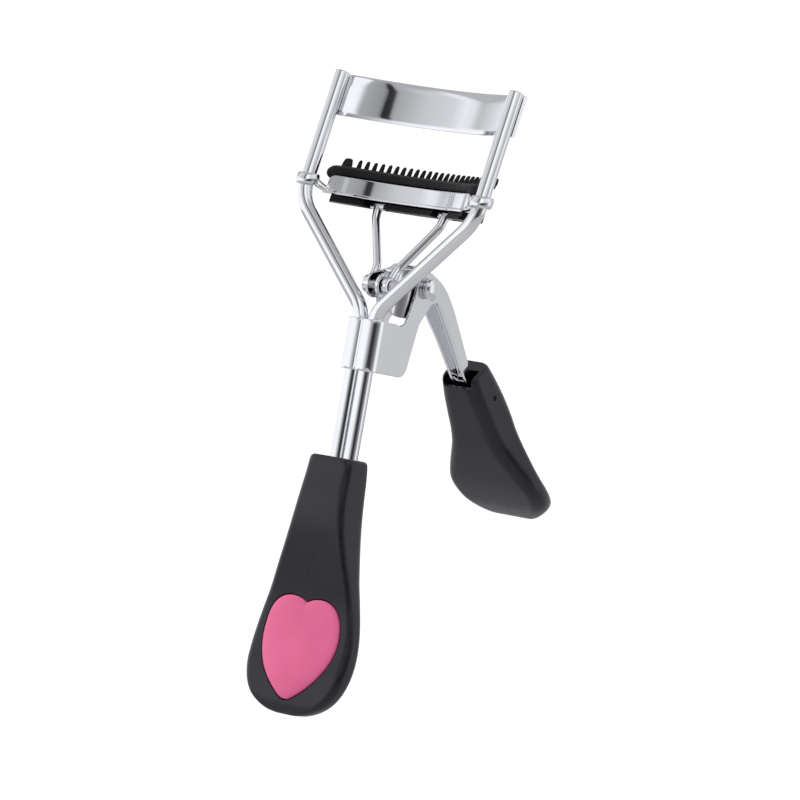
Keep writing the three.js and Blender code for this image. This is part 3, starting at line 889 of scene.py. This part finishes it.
def lever_channel():
    keyed = [[k, *row] for k, row in enumerate(LEVER_ROWS)]
    rings = []
    per_row = 8
    for i in range((len(LEVER_ROWS) - 1) * per_row + 1):
        sy, sz, ey, ez = blend_between(keyed, i / per_row)
        rings.append(channel_ring(lever_half(sy), Vector((sy, sz)), Vector((ey, ez))))
    count = len(rings[0])
    verts = [p for ring in rings for p in ring]
    faces = []
    for r in range(len(rings) - 1):
        for i in range(count):
            a, b = r * count + i, r * count + (i + 1) % count
            faces.append((a, b, b + count, a + count))
    for base in (0, (len(rings) - 1) * count):
        for i in range(count // 2 - 1):
            faces.append((base + i, base + i + 1, base + count - 2 - i, base + count - 1 - i))
    channel = new_object("lever", verts, faces)
    soften(channel, 0.1, segments=2, angle=40)
    cheek_r = 2.2
    cheek = []
    for k in range(25):
        a = math.radians(285 - k * 6.6)
        cheek.append((NOSE[0] + cheek_r * math.cos(a), NOSE[1] + cheek_r * math.sin(a), 0))
    cheek += [(3.9, 75.25, 0), (3.6, 70.05, 0)]
    right = prism("cheek", round_corners(cheek), 0.72, 1.28, "x")
    soften(right, 0.1, segments=2, angle=40)
    left = mirrored(right, "cheek_left")
    turn = Matrix.Translation((0, *REAR_TOP)) @ Matrix.Rotation(REAR_TILT, 4, "X")
    tang_half, front, back, edge = 1.2, -0.5, 0.1, 0.1
    tang_corners = [(tang_half, front, edge), (tang_half, back, edge)]
    tang_corners += [(-tang_half, back, edge), (-tang_half, front, edge)]
    tang = prism("tang", round_corners(tang_corners, 3), -13.5, -1.6, "z")
    tang.data.transform(turn)
    joined(channel, [right, left, tang])
    publish(channel, CHROME, "lever", "lever_channel", 32)


def yoke_pin():
    head = [(0, 3.05), (0.5, 3.03), (0.82, 2.97), (1.0, 2.87), (1.05, 2.74), (1.0, 2.68), (0.68, 2.66)]
    profile = head + [(r, -h) for r, h in reversed(head)]
    pin = lathe("pin", profile, (0, *NOSE), steps=40)
    publish(pin, STEEL, "lever", "yoke_pin", 40)


# ---- push rods ----


def push_rods():
    corners = [
        Vector((EYE_X, NOSE[0] + 0.5, NOSE[1] + 1.1)),
        Vector((EYE_X + 0.15, NOSE[0] + 1.5, NOSE[1] + 3.0)),
        Vector((HEAD_X - 0.35, HEAD[0] - 0.7, HEAD[1] - 2.2)),
        Vector((HEAD_X, HEAD[0], HEAD[1])),
    ]
    path = smooth_path(corners, cuts=[0.9, 0.8], steps=12)
    rod = round_bar("right_rod", path, ROD_R, sides=28, edge=0.2)
    inner, outer, half, edge = 0.85, 1.55, 0.55, 0.22
    ring = [(inner, -half + 0.1), (inner + 0.1, -half), (outer - edge, -half), (outer - 0.06, -half + 0.06)]
    ring += [(outer, -half + edge), (outer, half - edge), (outer - 0.06, half - 0.06), (outer - edge, half)]
    ring += [(inner + 0.1, half), (inner, half - 0.1)]
    eye = lathe("eye", ring, (EYE_X, *NOSE), steps=48)
    end = [(0, 1.45), (0.36, 1.44), (0.5, 1.36), (0.56, 1.2)]
    head = lathe("head", end + [(r, -h) for r, h in reversed(end)], (HEAD_X, *HEAD), steps=32)
    joined(rod, [eye, head])
    left = mirrored(rod, "left_rod")
    publish(rod, CHROME, "right_link", "right_push_rod", 38)
    publish(left, CHROME, "left_link", "left_push_rod", 38)


# ---- lower jaw ----


def jaw_bar():
    """Channel bar on a thin carrier strip, with a collar round each rail."""
    corners = [
        (BAR_FRONT, BAR_Z[0], 0.2), (BAR_BACK, BAR_Z[0], 0.2), (BAR_BACK, BAR_Z[1], 0.2),
        (GROOVE_HALF, BAR_Z[1], 0.1), (GROOVE_HALF, GROOVE_Z, 0.1), (-GROOVE_HALF, GROOVE_Z, 0.1),
        (-GROOVE_HALF, BAR_Z[1], 0.1), (BAR_FRONT, BAR_Z[1], 0.3),
    ]
    section = round_corners(corners, 4)

    def bar_section(x):
        slim = smoothstep(BAR_HALF - 2.4, BAR_HALF, abs(x))
        round_off = max(abs(x) - (BAR_HALF - 0.9), 0) / 0.9
        drop = 0.45 * (1 - math.sqrt(max(1 - round_off**2, 0)))
        lift = 0.25 * slim
        middle = (BAR_Z[0] + BAR_Z[1]) / 2
        ring = []
        for off, z in section:
            h = z - drop * (BAR_Z[1] - BAR_Z[0]) if z > middle else z + lift
            ring.append((off * (1 - 0.12 * slim), h))
        return ring

    bar = skin("jaw_bar", bow_rings(BAR_HALF, bar_section, 72))
    low, high = CARRIER_Z
    front, back, edge = -1.95, 1.25, 0.18
    strip_corners = [(front, low, edge), (back, low, edge), (back, high, edge), (front, high, edge)]
    strip_section = round_corners(strip_corners, 4)

    def carrier(x):
        shut = smoothstep(BAR_HALF - 5, BAR_HALF + 0.4, abs(x))
        return [(off * (1 - 0.6 * shut), z) for off, z in strip_section]

    strip = skin("strip", bow_rings(BAR_HALF + 0.4, carrier, 72))
    right = [collar("collar", 1), collar_arm("arm", 1)]
    left = [collar("collar_left", -1), collar_arm("arm_left", -1)]
    joined(bar, [strip] + right + left)
    lean(bar)
    publish(bar, CHROME, "jaw_carriage", "lower_jaw_bar", 32)


def collar(name, side):
    """Rolled ring that slides on a rail."""
    inner, outer, half, roll = 1.55, 2.02, 0.95, 0.34
    ring = [(inner, COLLAR_Z - half + 0.1), (inner, COLLAR_Z + half - 0.1)]
    for k in range(9):
        a = math.radians(90 - k * 22.5)
        ring.append((outer - roll + roll * math.cos(a), COLLAR_Z + half * math.sin(a)))
    return lathe(name, ring, (side * RAIL_X, 0, 0), axis="z", steps=48)


def collar_arm(name, side):
    """Short twisted strip from the end of the carrier up to a collar."""
    end = beside_bow(BAR_HALF - 1.2, -0.4)
    stops = [(end.x, end.y, 86.35, 1.3, 0.3), (end.x + 1.1, end.y - 0.75, 86.75, 0.85, 0.5)]
    stops += [(RAIL_X - 1.95, 0.75, 87.4, 0.5, 0.72), (RAIL_X - 1.5, 0.55, 87.75, 0.4, 0.8)]
    keyed = [[k, *row] for k, row in enumerate(stops)]
    along = Vector((RAIL_X - 1.5 - end.x, 0.55 - end.y)).normalized()
    across = Vector((-along.y, along.x))
    rings = []
    for i in range(19):
        x, y, z, wide, tall = blend_between(keyed, i / 6)
        ring = []
        for k in range(16):
            a = 2 * math.pi * k / 16
            p = Vector((x, y)) + across * wide * math.cos(a)
            ring.append(Vector((side * p.x, p.y, z + tall * math.sin(a))))
        rings.append(ring)
    return skin(name, rings)


def lash_pad():
    """Silicone pad: a tongue in the groove under a soft head that folds down over the bar's ends."""
    low, neck, top = GROOVE_Z + 0.15, BAR_Z[1] + 0.12, 91.1
    tongue = GROOVE_HALF - 0.12
    end_round, fold_deep, fold_tall = 1.3, 1.5, 1.25
    half = [(tongue, low), (tongue, neck - 0.15), (tongue + 0.25, neck), (1.35, neck), (1.55, neck + 0.15)]
    half += [(1.63, neck + 0.5), (1.58, neck + 0.85), (1.38, neck + 1.2), (1.0, neck + 1.45)]
    half.append((0.5, top - 0.03))
    section = half + [(0, top)] + [(-off, z) for off, z in reversed(half)]
    count = len(section)

    def pad_section(x):
        fold = smoothstep(PAD_HALF - 2.6, PAD_HALF - 0.9, abs(x))
        close = max((abs(x) - (PAD_HALF - end_round)) / end_round, 0)
        shut = math.sqrt(max(1 - close * close, 0.004))
        middle = neck + 0.55 - 0.25 * fold
        ring = []
        for i, (off, z) in enumerate(section):
            a = -math.pi / 2 + 2 * math.pi * (i + 0.5) / count
            round_off, round_z = fold_deep * math.cos(a), neck + 0.3 + fold_tall * math.sin(a)
            o = off + (round_off - off) * fold
            h = z + (round_z - z) * fold
            ring.append((o * shut, middle + (h - middle) * shut))
        return ring

    pad = lean(skin("lash_pad", bow_rings(PAD_HALF, pad_section, 110)))
    publish(pad, SILICONE, "jaw_carriage", "silicone_pad", 80)


def comb_band(name, half, front, back, low, high, edge):
    corners = [(front, low, edge), (back, low, edge), (back, high, edge), (front, high, edge)]
    section = round_corners(corners, 3)
    return skin(name, bow_rings(half, lambda x: section, 60))


def comb_tooth(name, x, half_width):
    """Tapered tooth with rounded edges and tip, leaning slightly back."""
    base = beside_bow(x, (COMB_BACK[0] + COMB_BACK[1]) / 2)
    tip = beside_bow(x, COMB_BACK[1] + 0.2)
    top = TOOTH_TIP_Z
    rows = [
        [0.0, COMB_TOP_Z - 0.5, half_width, 0.36],
        [0.45, COMB_TOP_Z + 0.3, half_width, 0.34],
        [0.8, top - 0.3, half_width * 0.8, 0.26],
        [0.93, top - 0.1, half_width * 0.62, 0.2],
        [1.0, top, half_width * 0.3, 0.1],
    ]
    rings = []
    for t, z, wide, deep in rows:
        middle = base.lerp(tip, t)
        edge = min(wide, deep) * 0.6
        corners = [(-wide, -deep, edge), (wide, -deep, edge), (wide, deep, edge), (-wide, deep, edge)]
        rings.append([Vector((middle.x + a, middle.y + b, z)) for a, b in round_corners(corners, 3)])
    return skin(name, rings)


def head_room(name, side):
    """Room under the bar for a push rod's cross head."""
    reach = 2.1
    left, right = side * HEAD_X - reach, side * HEAD_X + reach
    front, back = bow(HEAD_X) - 5, bow(HEAD_X) + 1.95
    low, high = COMB_LIP_Z[0] - 4.8, COMB_LIP_Z[1] + 0.1
    corners = [(left, front), (right, front), (right, back), (left, back)]
    return prism(name, corners, low, high, "z")


def lash_comb():
    low, high = COMB_LIP_Z
    front, back = COMB_BACK
    comb = comb_band("comb", COMB_HALF, front, back, low, COMB_TOP_Z, 0.12)
    lip = comb_band("lip", COMB_HALF - 0.2, BAR_FRONT + 0.2, back - 0.1, low + 0.05, high - 0.05, 0.14)
    ledge_front, ledge_back = BAR_FRONT - 0.05, BAR_FRONT + 0.9
    ledge = comb_band("ledge", COMB_HALF - 0.5, ledge_front, ledge_back, low + 0.08, low + 0.62, 0.12)
    teeth = []
    for i in range(TOOTH_COUNT):
        teeth.append(comb_tooth(f"tooth_{i}", (i - (TOOTH_COUNT - 1) / 2) * TOOTH_PITCH, TOOTH_HALF))
    for side in (-1, 1):
        teeth.append(comb_tooth(f"end_tooth_{side}", side * (COMB_HALF - 0.75), END_TOOTH_HALF))
    joined(comb, [lip, ledge] + teeth)
    cut(comb, head_room("room", 1), head_room("room_left", -1))
    lean(comb)
    publish(comb, COMB, "jaw_carriage", "lash_comb", 32)


# ---- studio ----

# Brightness of the studio walls round the object, as (azimuth in degrees, brightness) stops. Azimuth 0 is
# in front of the front grip and grows towards +X. The low ring is at the height of the object and holds a
# dark side of the room; the high ring is above it and holds a narrow black flag.
LOW_RING = [
    (-180, 0.70), (-150, 0.62), (-136, 0.78), (-118, 1.10), (-34, 1.18), (-8, 1.12), (5, 0.84),
    (12, 0.60), (22, 0.42), (31, 0.25), (37, 0.06), (60, 0.04), (68, 0.11), (80, 0.19), (93, 0.32),
    (100, 0.46), (108, 0.90), (116, 1.10), (128, 1.00), (137, 0.68), (165, 0.62), (180, 0.70),
]
HIGH_RING = [
    (-180, 0.66), (-150, 0.58), (-112, 0.54), (-74, 0.56), (-67, 0.93), (-59, 1.02), (-47, 0.80),
    (-22, 0.70), (-0.5, 0.46), (1.5, 0.04), (6, 0.03), (7.5, 0.36), (19, 0.48), (21.5, 1.15),
    (44, 1.18), (62, 0.78), (85, 0.90), (115, 1.00), (143, 0.66), (180, 0.66),
]
OVERHEAD = 0.50
BRIGHTEST = 1.2
BACKDROP = 1.1
WALL_TINT = (0.985, 0.99, 1.02)
CEILING_TINT = (1, 1, 1.04)

# Elevations in degrees between which the walls pass from low ring to high ring, and on to the ceiling.
RING_BLEND = (10, 21)
CEILING_BLEND = (46, 64)


def tinted(bright, tint):
    """Colour of a wall as a share of the brightest, which is the world's strength."""
    share = bright / BRIGHTEST
    return (*[share * t for t in tint], 1)


def studio_world():
    """White light tent with grey and black parts: seen plain white, its walls only light and reflect."""
    world = bpy.data.worlds.new("studio")
    bpy.context.scene.world = world
    world.use_nodes = True
    tree = world.node_tree
    tree.nodes.clear()

    def math_node(operation, *values):
        made = tree.nodes.new("ShaderNodeMath")
        made.operation = operation
        for socket, value in zip(made.inputs, values):
            if isinstance(value, (int, float)):
                socket.default_value = value
            else:
                tree.links.new(value, socket)
        return made.outputs[0]

    def background(colour, strength):
        made = tree.nodes.new("ShaderNodeBackground")
        made.inputs["Color"].default_value = (1, 1, 1, 1)
        made.inputs["Strength"].default_value = strength
        if colour is not None:
            tree.links.new(colour, made.inputs["Color"])
        return made.outputs[0]

    place = tree.nodes.new("ShaderNodeTexCoord").outputs["Generated"]
    split = tree.nodes.new("ShaderNodeSeparateXYZ")
    tree.links.new(place, split.inputs[0])
    x, y, z = split.outputs
    azimuth = math_node("DEGREES", math_node("ARCTAN2", x, math_node("MULTIPLY", y, -1)))
    around = math_node("DIVIDE", math_node("ADD", azimuth, 180), 360)
    elevation = math_node("DEGREES", math_node("ARCSINE", z))

    def ring(stops):
        made = tree.nodes.new("ShaderNodeValToRGB")
        ramp = made.color_ramp
        ramp.interpolation = "LINEAR"
        while len(ramp.elements) < len(stops):
            ramp.elements.new(0.5)
        for element, (angle, _) in zip(ramp.elements, stops):
            element.position = (angle + 180) / 360
        for element, (_, bright) in zip(ramp.elements, stops):
            element.color = tinted(bright, WALL_TINT)
        tree.links.new(around, made.inputs["Fac"])
        return made.outputs["Color"]

    def blend(low, high, below, above):
        """Passes from one colour, or brightness, to another between two elevations."""
        rise = tree.nodes.new("ShaderNodeMapRange")
        rise.interpolation_type = "SMOOTHSTEP"
        rise.inputs["From Min"].default_value = low
        rise.inputs["From Max"].default_value = high
        tree.links.new(elevation, rise.inputs["Value"])
        mix = tree.nodes.new("ShaderNodeMix")
        mix.data_type = "RGBA"
        tree.links.new(rise.outputs["Result"], mix.inputs["Factor"])
        tree.links.new(below, mix.inputs["A"])
        if isinstance(above, float):
            mix.inputs["B"].default_value = tinted(above, CEILING_TINT)
        else:
            tree.links.new(above, mix.inputs["B"])
        return mix.outputs["Result"]

    walls = blend(*RING_BLEND, ring(LOW_RING), ring(HIGH_RING))
    walls = blend(*CEILING_BLEND, walls, OVERHEAD)
    choose = tree.nodes.new("ShaderNodeMixShader")
    seen = tree.nodes.new("ShaderNodeLightPath").outputs["Is Camera Ray"]
    tree.links.new(seen, choose.inputs["Fac"])
    tree.links.new(background(walls, BRIGHTEST), choose.inputs[1])
    tree.links.new(background(None, BACKDROP), choose.inputs[2])
    out = tree.nodes.new("ShaderNodeOutputWorld")
    tree.links.new(choose.outputs[0], out.inputs["Surface"])


def pale_floor():
    """Wide pale floor well under the object, in metres."""
    half, z = 1.5, -0.25
    verts = [(-half, -half, z), (half, -half, z), (half, half, z), (-half, half, z)]
    floor = new_object("floor", verts, [(0, 1, 2, 3)])
    floor.data.materials.append(plain("pale_floor", (0.54, 0.54, 0.55), 0.9, 0.13))


def soft_light(name, azimuth, elevation, distance, size, power):
    """Square soft box aimed at the middle of the object."""
    a, e = math.radians(azimuth), math.radians(elevation)
    middle = (cad_low + cad_high) / 2
    away = Vector((math.sin(a) * math.cos(e), -math.cos(a) * math.cos(e), math.sin(e)))
    light = bpy.data.lights.new(name, "AREA")
    light.shape = "SQUARE"
    light.size = size
    light.energy = power
    lamp = bpy.data.objects.new(name, light)
    lamp.location = middle + away * distance
    lamp.rotation_mode = "QUATERNION"
    lamp.rotation_quaternion = away.to_track_quat("Z", "Y")
    bpy.context.scene.collection.objects.link(lamp)
    lamp.visible_glossy = False


# Camera: where it stands round the rig, how far, how it is rolled, and what it looks at.
CAMERA_AZIMUTH = 36.62
CAMERA_ELEVATION = -0.15
CAMERA_ROLL = 9.92
CAMERA_DISTANCE = 771.87
CAMERA_TARGET_Z = 53.2
CAMERA_LENS = 210.6
CAMERA_SENSOR = 36.0
AIM_RIGHT = 0.5594
AIM_DOWN = 0.0317


def photo_camera():
    a, e = math.radians(CAMERA_AZIMUTH), math.radians(CAMERA_ELEVATION)
    away = Vector((math.sin(a) * math.cos(e), -math.cos(a) * math.cos(e), math.sin(e)))
    target = TO_ROW @ Vector((0, 0, CAMERA_TARGET_Z))
    data = bpy.data.cameras.new("camera")
    data.lens = CAMERA_LENS
    data.sensor_width = CAMERA_SENSOR
    data.clip_start = 0.01
    data.clip_end = 200.0
    camera = bpy.data.objects.new("camera", data)
    bpy.context.scene.collection.objects.link(camera)
    camera.location = target + away * CAMERA_DISTANCE * MM
    facing = away.to_track_quat("Z", "Y").to_matrix()
    roll = Matrix.Rotation(math.radians(CAMERA_ROLL), 3, "Z")
    aim = Matrix.Rotation(-math.radians(AIM_RIGHT), 3, "Y") @ Matrix.Rotation(-math.radians(AIM_DOWN), 3, "X")
    camera.rotation_mode = "QUATERNION"
    camera.rotation_quaternion = (facing @ roll @ aim).to_quaternion()
    bpy.context.scene.camera = camera


# ---- the object and its studio ----

frame_wires()
upper_plate()
clamp_bracket()
pivot_set()
front_grip()
heart_inlay()
rear_grip()
lever_channel()
yoke_pin()
push_rods()
jaw_bar()
lash_pad()
lash_comb()

photo_camera()
studio_world()
pale_floor()
soft_light("key", azimuth=-50, elevation=35, distance=0.9, size=0.6, power=4.0)

bpy.context.scene.view_settings.view_transform = "Standard"
